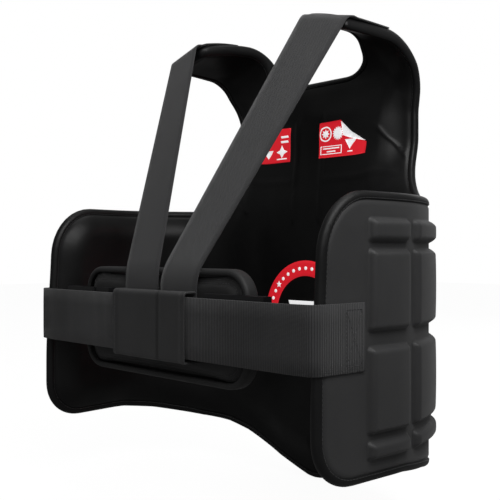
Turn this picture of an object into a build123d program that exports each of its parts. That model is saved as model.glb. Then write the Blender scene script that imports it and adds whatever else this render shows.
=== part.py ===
from build123d import *
from math import cos, radians, sin, sqrt
import os

os.makedirs("parts", exist_ok=True)

# Chest protector, millimetres. +Z up, the chest faces -Y, the wearer's right side is -X.
# The origin is under the middle of the vest, at the height of the lowest point of its apron.

# ---------------------------------------------------------------- driving dimensions
front_y = -142.0                # outer face of the chest panel
rear_y = 136.0                  # rear edges of the two side wings
rear_half_width = 231.8         # outer face of a wing at its rear edge
side_flare = 0.07               # how fast a wing spreads towards the front
corner_radius = 160.0           # plan radius where chest panel turns into side wall
shell_thickness = 24.5
skin = 2.0                      # cover and lining
air = 0.1                       # air between neighbouring pieces
edge_band = 3.0                 # how far the edge binding reaches in from the outline

neck_z = 516.0                  # bottom of the neck scoop
neck_half_width = 84.0
arm_half_width = 145.0          # chest width between the armholes
shoulder_half_width = 148.0
side_top_z = 350.0              # top edge of side walls and wings
shoulder_top_z = 571.0
shoulder_start_z = 470.0        # the upper chest is built from here up
shoulder_end_y = -3.0           # rear ends of the shoulder pieces
shoulder_front_radius = 80.0
shoulder_rear_radius = 131.0
shoulder_slope = 0.21           # fall of the shoulder line towards the arm
shoulder_slope_start = 88.0

hinge_y = 9.5                   # vertical groove where each wing flexes
hinge_gap_inner = 0.6
hinge_gap_outer = 4.4
hinge_x = (205.0, 262.0)        # plan range that the groove's flared part spans

block_height = 9.5              # how far the strike blocks stand out
block_rows = ((99.5, 117.0), (127.5, 204.5), (217.5, 296.0), (305.5, 325.0))
upper_block_row = (372.0, 455.0)
wing_block_y = (14.0, 74.0)     # side column, behind the flex groove

strap_width = 56.0
strap_thickness = 1.8
strap_top_x = 119.5             # middle of a strap on the shoulder
strap_low_x = 32.5              # middle of a strap on the back pad
strap_low_z = 281.0             # where it leaves the pad, just above its top edge
strap_grip = 70.0               # length sewn on top of the shoulder

pad_half_width = 149.0
pad_z = (165.0, 275.0)
pad_back_y = 112.0
pad_face_y = 131.5
pad_corner_radius = 30.0

belt_z = (182.5, 246.0)         # 63.5 mm elastic
belt_y = (146.0, 148.0)
belt_inner_x = 38.0
belt_pivot = (219.5, 138.0)
anchor_front_y = 80.0           # where the elastic is sewn to the wing

sleeve_half_width = 63.0
sleeve_z = (177.5, 251.0)
sleeve_face_y = (150.0, 151.5)

buckle_z = 219.5                # middle height of a buckle
buckle_y = 139.0
buckle_height = 62.0
buckle_depth = 11.0
buckle_mouth_x = 112.0          # open end of the socket
socket_length = 58.0
prong_length = 36.0
prong_root_z = 20.0             # prong hinge, above and below the middle of the plug

ring_z = 208.0
ring_radius = 71.0


# ---------------------------------------------------------------- shared shapes
def save(shape, name):
    """Label one finished piece and write it as its own STEP file."""
    shape.label = name
    export_step(shape, f"parts/{name}.step")


def plan_section(inset):
    """Plan outline of the vest, shrunk by inset and run on past the rear edges."""
    tail = 30.0
    tail_x = rear_half_width - side_flare * tail
    apex_x = rear_half_width + side_flare * (rear_y - front_y)
    with BuildSketch() as section:
        with BuildLine():
            Polyline(
                (-tail_x, rear_y + tail),
                (-apex_x, front_y),
                (apex_x, front_y),
                (tail_x, rear_y + tail),
                close=True,
            )
        make_face()
        fillet(section.vertices().group_by(Axis.Y)[0], radius=corner_radius)
        if inset:
            offset(amount=-inset)
    return section.sketch


corner_x = rear_half_width + side_flare * (rear_y - front_y - corner_radius)
corner_x = corner_x - corner_radius * sqrt(1 + side_flare**2)
corner_y = front_y + corner_radius


def chest_y(x, depth):
    """Y of the chest surface that lies depth inside the outer face, at width x."""
    past_flat = max(0.0, abs(x) - corner_x)
    return corner_y - sqrt((corner_radius - depth) ** 2 - past_flat**2)


def shoulder_profile(x, outer, inner, end_y):
    """Side view of one ply of the upper chest and shoulder at width x."""
    top_z = shoulder_top_z - shoulder_slope * max(0.0, abs(x) - shoulder_slope_start)
    half = sqrt(0.5)
    with BuildSketch(Plane.YZ.offset(x)) as profile:
        with BuildLine():
            ends = []
            for depth in (outer, inner):
                start_y = chest_y(x, depth)
                front_r = shoulder_front_radius - depth
                rear_r = shoulder_rear_radius - depth
                crest_y = start_y + front_r
                bend_z = top_z - shoulder_front_radius
                rear_mid_y = (crest_y + end_y) / 2
                rear_z = top_z - shoulder_rear_radius
                mid_z = rear_z + sqrt(rear_r**2 - (rear_mid_y - crest_y) ** 2)
                end_z = rear_z + sqrt(rear_r**2 - (end_y - crest_y) ** 2)
                Line((start_y, shoulder_start_z), (start_y, bend_z))
                ThreePointArc(
                    (start_y, bend_z),
                    (crest_y - front_r * half, bend_z + front_r * half),
                    (crest_y, top_z - depth),
                )
                ThreePointArc((crest_y, top_z - depth), (rear_mid_y, mid_z), (end_y, end_z))
                ends.append(((start_y, shoulder_start_z), (end_y, end_z)))
            Line(ends[0][0], ends[1][0])
            Line(ends[0][1], ends[1][1])
        make_face()
    return profile.sketch


def front_outline(inset):
    """Front view of the vest, X to the right and Z up: neck, armholes, pointed apron."""
    with BuildSketch() as outline:
        with BuildLine():
            right = [
                (neck_half_width, neck_z),
                (neck_half_width, 700),
                (shoulder_half_width, 700),
                (shoulder_half_width, 505),
                (arm_half_width, 465),
                (arm_half_width, side_top_z),
                (290, side_top_z),
                (290, 92),
                (118, 44),
                (0, -3.8),
            ]
            left = [(-x, z) for x, z in reversed(right[:-1])]
            Polyline(*right, *left, close=True)
        make_face()
        neck = outline.vertices().filter_by_position(Axis.Y, neck_z - 1, neck_z + 1)
        fillet(neck, radius=30)
        sides = outline.vertices().filter_by_position(Axis.Y, side_top_z - 1, side_top_z + 1)
        armpits = sides.filter_by_position(Axis.X, -arm_half_width - 1, arm_half_width + 1)
        fillet(armpits, radius=68)
        fillet(outline.vertices().sort_by(Axis.Y)[0], radius=50)
        if inset:
            offset(amount=-inset)
    return outline.sketch


def side_outline(inset):
    """Side view of the vest, Y to the right and Z up: the wings' rounded rear corners."""
    with BuildSketch() as outline:
        with BuildLine():
            Polyline(
                (rear_y, 86),
                (20, 81),
                (-30, 72),
                (-70, -60),
                (-220, -60),
                (-220, 720),
                (20, 720),
                (20, side_top_z),
                (rear_y, side_top_z),
                close=True,
            )
        make_face()
        fillet(outline.vertices().group_by(Axis.X)[-1].sort_by(Axis.Y)[0], radius=38)
        fillet(outline.vertices().group_by(Axis.X)[-1].sort_by(Axis.Y)[-1], radius=62)
        if inset:
            offset(amount=-inset)
    return outline.sketch


def vest_ply(outer, inner, inset):
    """One ply of the whole vest, between two depths, trimmed inset from the outline."""
    end_y = shoulder_end_y - inset
    with BuildPart() as upper:
        for x in (0, corner_x, 114, shoulder_half_width + 1):
            add(shoulder_profile(x, outer, inner, end_y))
        loft(ruled=True)
    with BuildPart() as ply:
        with BuildSketch():
            add(plan_section(outer))
            add(plan_section(inner), mode=Mode.SUBTRACT)
        extrude(amount=shoulder_start_z)
        add(upper.part)
        add(upper.part.mirror(Plane.YZ))
        with BuildSketch(Plane.XZ):
            add(front_outline(inset))
        extrude(amount=400, both=True, mode=Mode.INTERSECT)
        with BuildSketch(Plane.YZ):
            add(side_outline(inset))
        extrude(amount=400, both=True, mode=Mode.INTERSECT)
    return ply.part


def flex_cut(side):
    """Plan area of one wing behind its flex groove; side is +1 on the wearer's left."""
    inner_x, outer_x = hinge_x
    with BuildSketch() as area:
        with BuildLine():
            Polyline(
                (side * 150, hinge_y + hinge_gap_inner / 2),
                (side * inner_x, hinge_y + hinge_gap_inner / 2),
                (side * outer_x, hinge_y + hinge_gap_outer / 2),
                (side * outer_x, rear_y + 40),
                (side * 150, rear_y + 40),
                close=True,
            )
        make_face()
    return area.sketch


def chest_cut():
    """Plan area of the chest body, in front of both flex grooves."""
    inner_x, outer_x = hinge_x
    with BuildSketch() as area:
        with BuildLine():
            Polyline(
                (-outer_x, hinge_y - hinge_gap_outer / 2),
                (-inner_x, hinge_y - hinge_gap_inner / 2),
                (inner_x, hinge_y - hinge_gap_inner / 2),
                (outer_x, hinge_y - hinge_gap_outer / 2),
                (outer_x, front_y - 40),
                (-outer_x, front_y - 40),
                close=True,
            )
        make_face()
    return area.sketch


def column_sketch(cutter):
    """Plan section of one column of strike blocks, standing on the cover."""
    with BuildSketch() as column:
        add(plan_section(-block_height))
        add(plan_section(-air), mode=Mode.SUBTRACT)
        add(cutter, mode=Mode.INTERSECT)
    return column.sketch


def wedge(start_angle, end_angle):
    """Cutter for a column that wraps the front corner, in degrees from the side wall."""
    reach = 260.0
    points = [(corner_x, corner_y)]
    for angle in (start_angle, end_angle):
        turn = radians(angle)
        points.append((corner_x + reach * cos(turn), corner_y - reach * sin(turn)))
    with BuildSketch() as cutter:
        with BuildLine():
            Polyline(*points, close=True)
        make_face()
    return cutter.sketch


def strip(x_range, y_range):
    """Rectangular plan cutter."""
    with BuildSketch() as cutter:
        with Locations(((x_range[0] + x_range[1]) / 2, (y_range[0] + y_range[1]) / 2)):
            Rectangle(x_range[1] - x_range[0], y_range[1] - y_range[0])
    return cutter.sketch


# ---------------------------------------------------------------- vest plies, split at the grooves
plies = {
    "cover": (0.0, skin, edge_band),
    "foam": (skin + air, shell_thickness - skin - air, edge_band),
    "lining": (shell_thickness - skin, shell_thickness, edge_band),
}
whole = {name: vest_ply(*depths) for name, depths in plies.items()}
rim = vest_ply(0.0, shell_thickness, 0.0) - vest_ply(-1.0, shell_thickness + 1.0, edge_band - air)
whole["binding"] = rim

for ply_name, ply_shape in whole.items():
    with BuildPart() as chest_piece:
        add(ply_shape)
        with BuildSketch():
            add(chest_cut())
        extrude(amount=700, mode=Mode.INTERSECT)
    save(chest_piece.part, f"chest_{ply_name}")
    for side_name, side in (("right", -1), ("left", 1)):
        with BuildPart() as wing_piece:
            add(ply_shape)
            with BuildSketch():
                add(flex_cut(side))
            extrude(amount=700, mode=Mode.INTERSECT)
        save(wing_piece.part, f"{side_name}_wing_{ply_name}")

# ---------------------------------------------------------------- strike blocks
for side_name, side in (("right", -1), ("left", 1)):
    with BuildPart() as wing_blocks:
        for low_z, high_z in block_rows:
            with BuildSketch(Plane.XY.offset(low_z)):
                add(column_sketch(strip(sorted((side * 200, side * 270)), wing_block_y)))
            extrude(amount=high_z - low_z)
    save(wing_blocks.part, f"{side_name}_wing_blocks")

corner_columns = ((4.7, 39.2), (43.4, 77.7))
for side_name, side in (("right", -1), ("left", 1)):
    with BuildPart() as corner_blocks:
        for low_z, high_z in block_rows:
            for start_angle, end_angle in corner_columns:
                column = column_sketch(wedge(start_angle, end_angle))
                with BuildSketch(Plane.XY.offset(low_z)):
                    add(column if side > 0 else column.mirror(Plane.YZ))
                extrude(amount=high_z - low_z)
    save(corner_blocks.part, f"{side_name}_corner_blocks")

front_columns = ((-101.0, -6.0), (6.0, 101.0))
with BuildPart() as front_blocks:
    for low_z, high_z in (*block_rows, upper_block_row):
        for x_range in front_columns:
            with BuildSketch(Plane.XY.offset(low_z)):
                add(column_sketch(strip(x_range, (front_y - 30, front_y + 40))))
            extrude(amount=high_z - low_z)
save(front_blocks.part, "front_blocks")

# ---------------------------------------------------------------- back pad
def pad_outline(inset):
    """Rounded rectangle of the back pad, drawn on a plane facing the wearer's back."""
    width = 2 * (pad_half_width - inset)
    height = pad_z[1] - pad_z[0] - 2 * inset
    with BuildSketch() as outline:
        RectangleRounded(width, height, pad_corner_radius - inset)
    return outline.sketch


def pad_plane(y):
    """Plane of the back pad at depth y; its normal points towards -Y."""
    return Plane(origin=(0, y, (pad_z[0] + pad_z[1]) / 2), x_dir=(1, 0, 0), z_dir=(0, -1, 0))


pad_layers = {
    "back_pad_cover": (pad_face_y, skin, edge_band),
    "back_pad_foam": (pad_face_y - skin - air, pad_face_y - pad_back_y - 2 * skin - 2 * air, edge_band),
    "back_pad_backing": (pad_back_y + skin, skin, edge_band),
}
for name, (face_y, depth, inset) in pad_layers.items():
    with BuildPart() as pad_layer:
        with BuildSketch(pad_plane(face_y)):
            add(pad_outline(inset))
        extrude(amount=depth)
    save(pad_layer.part, name)

with BuildPart() as back_pad_binding:
    with BuildSketch(pad_plane(pad_face_y)):
        add(pad_outline(0.0))
        add(pad_outline(edge_band - air), mode=Mode.SUBTRACT)
    extrude(amount=pad_face_y - pad_back_y)
save(back_pad_binding.part, "back_pad_binding")

# ---------------------------------------------------------------- belt sleeve on the back pad
with BuildPart() as belt_sleeve:
    with BuildSketch(Plane.YZ):
        with BuildLine():
            lip_y = pad_face_y + strap_thickness + 1.5
            Polyline(
                (pad_face_y + air, sleeve_z[0]),
                (sleeve_face_y[1], sleeve_z[0]),
                (sleeve_face_y[1], sleeve_z[1]),
                (lip_y, sleeve_z[1]),
                (lip_y, sleeve_z[1] - 1.5),
                (sleeve_face_y[0], sleeve_z[1] - 1.5),
                (sleeve_face_y[0], sleeve_z[0] + 1.5),
                (pad_face_y + air, sleeve_z[0] + 1.5),
                close=True,
            )
        make_face()
    extrude(amount=sleeve_half_width, both=True)
save(belt_sleeve.part, "belt_sleeve")

# ---------------------------------------------------------------- shoulder straps
strap_face_y = pad_face_y + 0.5                     # lower end lies on the pad
strap_end_z = 190.0                                 # lower end, hidden in the sleeve
fold_y = shoulder_end_y + 2.5                       # the strap folds over the shoulder's end here
grip_y = (shoulder_end_y - strap_grip, fold_y)


def shoulder_skin(lift, thickness, x_range, y_range):
    """A thin sheet lying on top of a shoulder piece."""
    with BuildPart() as sheet:
        for x in (corner_x, 114, shoulder_half_width + 1):
            add(shoulder_profile(x, -lift - thickness, -lift, y_range[1]))
        loft(ruled=True)
        with BuildSketch(Plane.XY.offset(480)):
            add(strip(x_range, y_range))
        extrude(amount=200, mode=Mode.INTERSECT)
    return sheet.part


def strap_run():
    """Flat run of the left strap, from the back pad up to the shoulder's rear end."""
    crest_y = chest_y(strap_top_x, 0) + shoulder_front_radius
    fall = shoulder_slope * (strap_top_x - shoulder_slope_start)
    rear_r = shoulder_rear_radius + 1.1
    end_z = shoulder_top_z - fall - shoulder_rear_radius
    end_z = end_z + sqrt(rear_r**2 - (fold_y - crest_y) ** 2)
    low = Vector(strap_low_x, strap_face_y + strap_thickness / 2, strap_low_z)
    high = Vector(strap_top_x, fold_y, end_z)
    along = (high - low).normalized()
    across = (Vector(1, 0, 0) - along * along.X).normalized()
    run_plane = Plane(origin=(low + high) / 2, x_dir=across, z_dir=across.cross(along))
    with BuildPart() as run:
        with BuildSketch(run_plane):
            Rectangle(strap_width, (high - low).length + 1.2)
        extrude(amount=strap_thickness / 2, both=True)
    return run.part


for side_name, side in (("right", -1), ("left", 1)):
    strap_x = (strap_top_x - strap_width / 2, strap_top_x + strap_width / 2)
    with BuildPart() as strap:
        add(shoulder_skin(0.2, strap_thickness, strap_x, grip_y))
        add(strap_run())
        with BuildSketch(Plane.XZ.offset(-strap_face_y)):
            with Locations((strap_low_x - 0.5, (strap_end_z + strap_low_z + 4) / 2)):
                Rectangle(strap_width, strap_low_z + 4 - strap_end_z)
        extrude(amount=-strap_thickness)
    strap_shape = strap.part if side > 0 else strap.part.mirror(Plane.YZ)
    save(strap_shape, f"{side_name}_shoulder_strap")

    with BuildPart() as tack:
        tack_x = (strap_x[0] + 6, strap_x[1] - 6)
        tack_y = (grip_y[0] + 6, grip_y[0] + 50)
        add(shoulder_skin(0.2 + strap_thickness + 0.1, 0.8, tack_x, tack_y))
    tack_shape = tack.part if side > 0 else tack.part.mirror(Plane.YZ)
    save(tack_shape, f"{side_name}_strap_stitching")

# ---------------------------------------------------------------- waist elastics and their sewn ends
outer_gap = 0.3                                      # elastic lies this far off the wing cover
for side_name, side in (("right", -1), ("left", 1)):
    with BuildPart() as elastic:
        with BuildSketch(Plane.XY.offset(belt_z[0])):
            span = belt_pivot[0] - belt_inner_x
            with Locations((side * (belt_inner_x + span / 2), (belt_y[0] + belt_y[1]) / 2)):
                Rectangle(span, belt_y[1] - belt_y[0])
        extrude(amount=belt_z[1] - belt_z[0])
    save(elastic.part, f"{side_name}_waist_elastic")

    with BuildPart() as anchor:
        with BuildSketch(Plane.XY.offset(belt_z[0])):
            with BuildLine():
                thick = belt_y[1] - belt_y[0]
                face_x = rear_half_width + outer_gap
                turn_y = rear_y - 6.0
                turn_x = face_x + side_flare * (rear_y - turn_y)
                front_x = face_x + side_flare * (rear_y - anchor_front_y)
                start_x = belt_pivot[0] + 2.0
                mid_turn = (turn_x - 1.5, belt_y[1] - 2.5)
                Polyline((start_x, belt_y[1]), (start_x, belt_y[0]))
                ThreePointArc((start_x, belt_y[0]), (turn_x - 2.5, belt_y[0] - 4.0), (turn_x, turn_y))
                Polyline((turn_x, turn_y), (front_x, anchor_front_y), (front_x + thick, anchor_front_y))
                Line((front_x + thick, anchor_front_y), (turn_x + thick, turn_y))
                ThreePointArc((turn_x + thick, turn_y), mid_turn, (start_x, belt_y[1]))
            make_face()
        extrude(amount=belt_z[1] - belt_z[0])
    anchor_shape = anchor.part if side > 0 else anchor.part.mirror(Plane.YZ)
    save(anchor_shape, f"{side_name}_elastic_anchor")

    with BuildPart() as stitching:
        with BuildSketch(Plane.XY.offset(belt_z[0] + 6)):
            with BuildLine():
                lift_x = rear_half_width + outer_gap + 2.0 + air
                near_x = lift_x + side_flare * (rear_y - anchor_front_y - 26)
                far_x = lift_x + side_flare * (rear_y - anchor_front_y - 4)
                Polyline(
                    (near_x, anchor_front_y + 26),
                    (far_x, anchor_front_y + 4),
                    (far_x + 0.8, anchor_front_y + 4),
                    (near_x + 0.8, anchor_front_y + 26),
                    close=True,
                )
            make_face()
        extrude(amount=belt_z[1] - belt_z[0] - 12)
    stitching_shape = stitching.part if side > 0 else stitching.part.mirror(Plane.YZ)
    save(stitching_shape, f"{side_name}_anchor_stitching")

# ---------------------------------------------------------------- side-release buckles
wall = 2.0
cheek = 3.5                                          # top and bottom walls of the socket
cavity_half = buckle_height / 2 - cheek
window = (buckle_mouth_x + 12.0, buckle_mouth_x + 34.0)
face_plane = Plane(origin=(0, buckle_y, buckle_z), x_dir=(1, 0, 0), z_dir=(0, -1, 0))


def flat_shape(points, depth):
    """Polygon drawn in the face of the left buckle, as thick as depth."""
    with BuildPart() as shape:
        with BuildSketch(face_plane):
            with BuildLine():
                Polyline(*points, close=True)
            make_face()
        extrude(amount=depth / 2, both=True)
    return shape.part


def box_points(x_range, z_range):
    """Corners of a rectangle in the face of the buckle."""
    (x0, x1), (z0, z1) = x_range, z_range
    return [(x0, z0), (x1, z0), (x1, z1), (x0, z1)]


half_height = buckle_height / 2
socket_end_x = buckle_mouth_x + socket_length
with BuildPart() as socket:
    add(flat_shape(box_points((buckle_mouth_x, socket_end_x), (-half_height, half_height)), buckle_depth))
    cavity_x = (buckle_mouth_x - 1, buckle_mouth_x + 44.0)
    add(
        flat_shape(box_points(cavity_x, (-cavity_half, cavity_half)), buckle_depth - 2 * wall),
        mode=Mode.SUBTRACT,
    )
    add(
        flat_shape(box_points(window, (-half_height - 1, half_height + 1)), buckle_depth - 2 * wall),
        mode=Mode.SUBTRACT,
    )
    slot_x = (socket_end_x - 9.0, socket_end_x - 4.5)
    add(flat_shape(box_points(slot_x, (-26.5, 26.5)), buckle_depth + 2), mode=Mode.SUBTRACT)

plug_start_x = buckle_mouth_x - 28.0
with BuildPart() as plug:
    add(flat_shape(box_points((plug_start_x, buckle_mouth_x - 0.5), (-half_height, half_height)), 8.0))
    plug_slot_x = (plug_start_x + 5.0, plug_start_x + 9.5)
    add(flat_shape(box_points(plug_slot_x, (-26.5, 26.5)), 10.0), mode=Mode.SUBTRACT)
    tongue_x = (buckle_mouth_x - 1.0, buckle_mouth_x + 30.0)
    add(flat_shape(box_points(tongue_x, (-7.0, 7.0)), 6.0))
    for end in (-1, 1):
        recess = (end * prong_root_z - 4.0, end * prong_root_z + 4.0)
        add(
            flat_shape(box_points((buckle_mouth_x - 8.0, buckle_mouth_x), recess), 10.0),
            mode=Mode.SUBTRACT,
        )

root_x = buckle_mouth_x - 4.5
tip_x = root_x + prong_length
barb_top = half_height - 0.5 - prong_root_z
prong_points = [
    (root_x - 2.5, -2.5),
    (window[0] + 4.0, -2.5),
    (tip_x, 0.5),
    (tip_x, 4.0),
    (tip_x - 8.0, barb_top),
    (window[0] + 0.4, barb_top),
    (window[0] + 0.4, 2.5),
    (root_x - 2.5, 2.5),
]


def prong_shape(end):
    """One springy arm of the left plug; end is +1 above and -1 below."""
    return flat_shape([(x, end * (prong_root_z + z)) for x, z in prong_points], 6.0)


with BuildPart() as plug_webbing:
    with BuildSketch(Plane.XY.offset(buckle_z - 25.0)):
        with BuildLine():
            bar_x = plug_start_x + 5.0
            low_y = buckle_y + 4.0 + 0.3
            Polyline(
                (42.0, low_y + 1.5),
                (bar_x + 4.2, low_y + 1.5),
                (bar_x + 4.2, buckle_y - 1.0),
                (bar_x + 2.6, buckle_y - 1.0),
                (bar_x + 2.6, low_y),
                (42.0, low_y),
                close=True,
            )
        make_face()
    extrude(amount=50.0)

with BuildPart() as socket_webbing:
    with BuildSketch(Plane.XY.offset(buckle_z - 25.0)):
        with BuildLine():
            loop_x = socket_end_x - 8.8
            strap_y = buckle_y + buckle_depth / 2 + 0.1
            Polyline(
                (loop_x, buckle_y - 2.0),
                (loop_x + 1.6, buckle_y - 2.0),
                (loop_x + 1.6, strap_y),
                (204.0, strap_y),
                (204.0, strap_y + 1.2),
                (loop_x, strap_y + 1.2),
                close=True,
            )
        make_face()
    extrude(amount=50.0)

buckle_pieces = {
    "buckle_socket": socket.part,
    "buckle_plug": plug.part,
    "upper_prong": prong_shape(1),
    "lower_prong": prong_shape(-1),
    "plug_webbing": plug_webbing.part,
    "socket_webbing": socket_webbing.part,
}
for name, shape in buckle_pieces.items():
    save(shape.mirror(Plane.YZ), f"right_{name}")
    save(shape, f"left_{name}")

# ---------------------------------------------------------------- labels and ring print on the lining
lining_y = front_y + shell_thickness + air
label_points = [(14, 408), (80, 408), (80, 434), (52, 458), (14, 458)]
for side_name, side in (("right", -1), ("left", 1)):
    with BuildPart() as label:
        with BuildSketch(Plane.XZ.offset(-lining_y)):
            with BuildLine():
                Polyline(*[(side * x, z) for x, z in label_points], close=True)
            make_face()
        extrude(amount=-0.5)
    save(label.part, f"{side_name}_inner_label")

with BuildPart() as ring_print:
    with BuildSketch(Plane.XZ.offset(-lining_y)):
        with Locations((0, ring_z)):
            Circle(ring_radius)
            Circle(ring_radius - 20.0, mode=Mode.SUBTRACT)
    extrude(amount=-0.4)
save(ring_print.part, "ring_print")
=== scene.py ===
import math

import bpy
import numpy as np
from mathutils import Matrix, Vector
from mathutils.geometry import delaunay_2d_cdt


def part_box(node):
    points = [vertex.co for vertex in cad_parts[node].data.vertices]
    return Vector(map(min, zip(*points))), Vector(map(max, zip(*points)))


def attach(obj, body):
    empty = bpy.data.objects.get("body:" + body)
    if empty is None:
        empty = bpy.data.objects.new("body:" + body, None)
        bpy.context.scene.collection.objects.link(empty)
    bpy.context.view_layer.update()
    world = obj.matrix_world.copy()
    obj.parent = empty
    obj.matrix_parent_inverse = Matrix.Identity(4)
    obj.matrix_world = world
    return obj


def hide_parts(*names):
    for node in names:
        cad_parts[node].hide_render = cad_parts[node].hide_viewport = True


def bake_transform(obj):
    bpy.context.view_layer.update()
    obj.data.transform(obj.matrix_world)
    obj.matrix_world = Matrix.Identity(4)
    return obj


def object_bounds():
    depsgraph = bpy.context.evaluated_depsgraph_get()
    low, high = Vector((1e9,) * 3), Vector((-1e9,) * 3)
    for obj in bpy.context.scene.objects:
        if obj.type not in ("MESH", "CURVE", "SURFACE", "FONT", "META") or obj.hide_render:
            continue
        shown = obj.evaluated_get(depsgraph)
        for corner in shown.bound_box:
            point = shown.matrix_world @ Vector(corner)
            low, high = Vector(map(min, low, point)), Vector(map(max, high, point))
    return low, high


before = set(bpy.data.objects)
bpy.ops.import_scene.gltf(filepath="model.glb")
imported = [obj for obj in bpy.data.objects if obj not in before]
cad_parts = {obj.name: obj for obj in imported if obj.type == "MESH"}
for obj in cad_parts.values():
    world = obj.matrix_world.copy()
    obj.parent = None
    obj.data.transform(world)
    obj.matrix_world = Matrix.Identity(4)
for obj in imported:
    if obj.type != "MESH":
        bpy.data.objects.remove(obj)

cad_low, cad_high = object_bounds()

# Chest protector. Lengths in this script are millimetres; meshes are written in metres.
# +Z is up, the chest faces -Y and the wearer's right side is -X. Surfaces of the vest are
# made for its left half (+X) and mirrored.
MM = 0.001


def cad(node):
    """Lowest and highest corner of a CAD node in millimetres."""
    low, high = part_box(node)
    return np.array(low) / MM, np.array(high) / MM


# ---- sizes, from the frame
FRONT_Y = cad("chest_cover")[0][1]
REAR_Y = cad("left_wing_binding")[1][1]
SHOULDER_END_Y = -3.0
TIP_Z = cad("chest_binding")[0][2]
SHOULDER_TOP_Z = cad("chest_binding")[1][2]
THICK = 24.5  # cover face to lining face
EDGE_THICK = 10.5  # the padding thins towards its bound edge on the wings and armholes
CHEST_SWELL = 13.5  # extra padding behind the middle of the chest
REAR_HALF = 231.8  # outer face of a wing at its rear edge
FLARE = 0.07  # how much the wings close in towards the rear
CORNER_R = 170.0  # bend between front and side
NECK_Z, NECK_HALF = 520.0, 77.0  # bottom and half width of the neck opening
ARM_HALF, SHOULDER_HALF = 149.0, 159.0  # outer edge beside the armhole and at the shoulder
SHOULDER_END_X = (91.0, 148.0)  # inner and outer corner of a shoulder's rear end
SHOULDER_THICK = 12.5
APRON_TIP = TIP_Z - 7.0
APRON_EDGE = ((0.0, APRON_TIP), (60.0, 14.5), (90.0, 28.0), (118.0, 42.0), (150.0, 52.5), (191.0, 57.4))
WING_LOW_Z = 77.5
SIDE_TOP_Z = cad("left_wing_binding")[1][2]
FOLD_R = 68.0  # how tightly the chest turns over into the shoulders
SHOULDER_SLOPE, SLOPE_START = 0.41, 88.0
REAR_DROP, DROP_FADE = 12.0, 0.18  # fall behind the crest at the neck, and how it fades outwards
FLATTEN = 12.0  # the upper chest wraps less than the waist
LEAN = 7.0  # and stands a little forward of it
LOW_REACH, REAR_SLOPE = 5.0, 7.5  # the wings' rear edges reach further back lower down

BLOCK_HEIGHT, BEVEL = 8.0, 6.5
BLOCK_ROWS = ((98.0, 116.5), (121.5, 204.5), (217.5, 296.0), (301.5, 325.0))
UPPER_ROW = (372.0, 455.0)

ELASTIC_LOW, ELASTIC_HIGH = cad("left_waist_elastic")
BAND_LOW, BAND_HIGH = ELASTIC_LOW[2], ELASTIC_HIGH[2]
BAND_Y = (ELASTIC_LOW[1] + ELASTIC_HIGH[1]) / 2
BAND_REACH = 2.5  # how far the wing's rear edge pushes the band back
ANCHOR_FRONT_Y = cad("left_elastic_anchor")[0][1]
SLEEVE_LOW, SLEEVE_HIGH = cad("belt_sleeve")
SEAM_X = -19.0  # the sleeve's seam lies to one side
PAD_LOW, PAD_HIGH = cad("back_pad_binding")
PAD_LOW += (15.0, 0.0, -11.0)  # the soft pad sags below its backing, a little to one side
PAD_HIGH += (3.0, 0.0, 0.0)
PAD_MIDDLE = (PAD_LOW + PAD_HIGH) / 2
PAD_HALF = (PAD_HIGH - PAD_LOW) / 2
PAD_CORNER = 30.0
STRAP_WIDTH, STRAP_THICK = 60.0, 1.8
STRAP_TOP_X, STRAP_LOW_X = 120.5, 32.5
STRAP_BEND_Z = 269.0  # where a strap leaves the back pad
STRAP_GRIP = 70.0  # length sewn down on the shoulder
STRAP_SKEW = -0.14  # the fold's outer corner lies a little forward of its inner one

STRETCH = math.sqrt(1 + FLARE**2)
CORNER_X = REAR_HALF + FLARE * (REAR_Y - FRONT_Y - CORNER_R) - CORNER_R * STRETCH
CORNER_Y = FRONT_Y + CORNER_R
ARC_END = math.pi / 2 + math.atan(FLARE)
S_ARC_END = CORNER_X + CORNER_R * ARC_END
ARC_END_Y = CORNER_Y + CORNER_R * math.sin(math.atan(FLARE))
S_REAR = S_ARC_END + (REAR_Y - ARC_END_Y) * STRETCH


def smooth(x, low, high):
    u = np.clip((np.asarray(x, float) - low) / (high - low), 0, 1)
    return u * u * (3 - 2 * u)


def unit(v):
    """Vectors scaled to length 1."""
    v = np.asarray(v, float)
    return v / np.linalg.norm(v, axis=-1, keepdims=True)


def distance_along(path):
    return np.concatenate([[0], np.cumsum(np.linalg.norm(np.diff(path, axis=0), axis=1))])


def values_at(places, run, rows):
    """Rows of values interpolated at places along a path whose points lie at run."""
    return np.stack([np.interp(places, run, rows[:, i]) for i in range(rows.shape[1])], -1)


def box_depth(du, dv, corner):
    """Depth inside a rounded rectangle, from the distances past its two pairs of sides."""
    qu, qv = du + corner, dv + corner
    return corner - (np.hypot(np.maximum(qu, 0), np.maximum(qv, 0)) + np.minimum(np.maximum(qu, qv), 0))


# ---- the vest's outer surface
def plan(s):
    """Plan point of the outer face at distance s round from the middle of the chest."""
    s = np.asarray(s, float)
    turn = np.clip((s - CORNER_X) / CORNER_R, 0, ARC_END)
    past = np.maximum(0, s - S_ARC_END) / STRETCH
    x = np.minimum(s, CORNER_X) + CORNER_R * np.sin(turn) - FLARE * past
    y = CORNER_Y - CORNER_R * np.cos(turn) + past
    return x, y


def s_of_x(x):
    """Distance round the vest at which the front half reaches width x."""
    if x <= CORNER_X:
        return x
    return CORNER_X + CORNER_R * math.asin(min(1.0, (x - CORNER_X) / CORNER_R))


def s_of_y(y):
    """Distance round the vest at which the side reaches depth y."""
    if y > ARC_END_Y:
        return S_ARC_END + (y - ARC_END_Y) * STRETCH
    return CORNER_X + CORNER_R * math.acos((CORNER_Y - y) / CORNER_R)


def top_z(x):
    """Height of the shoulder line at width x, with a soft start of its fall."""
    past = np.asarray(x, float) - SLOPE_START
    return SHOULDER_TOP_Z - SHOULDER_SLOPE * 0.5 * (past + np.sqrt(past**2 + 10.0**2)) + 0.5


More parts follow.
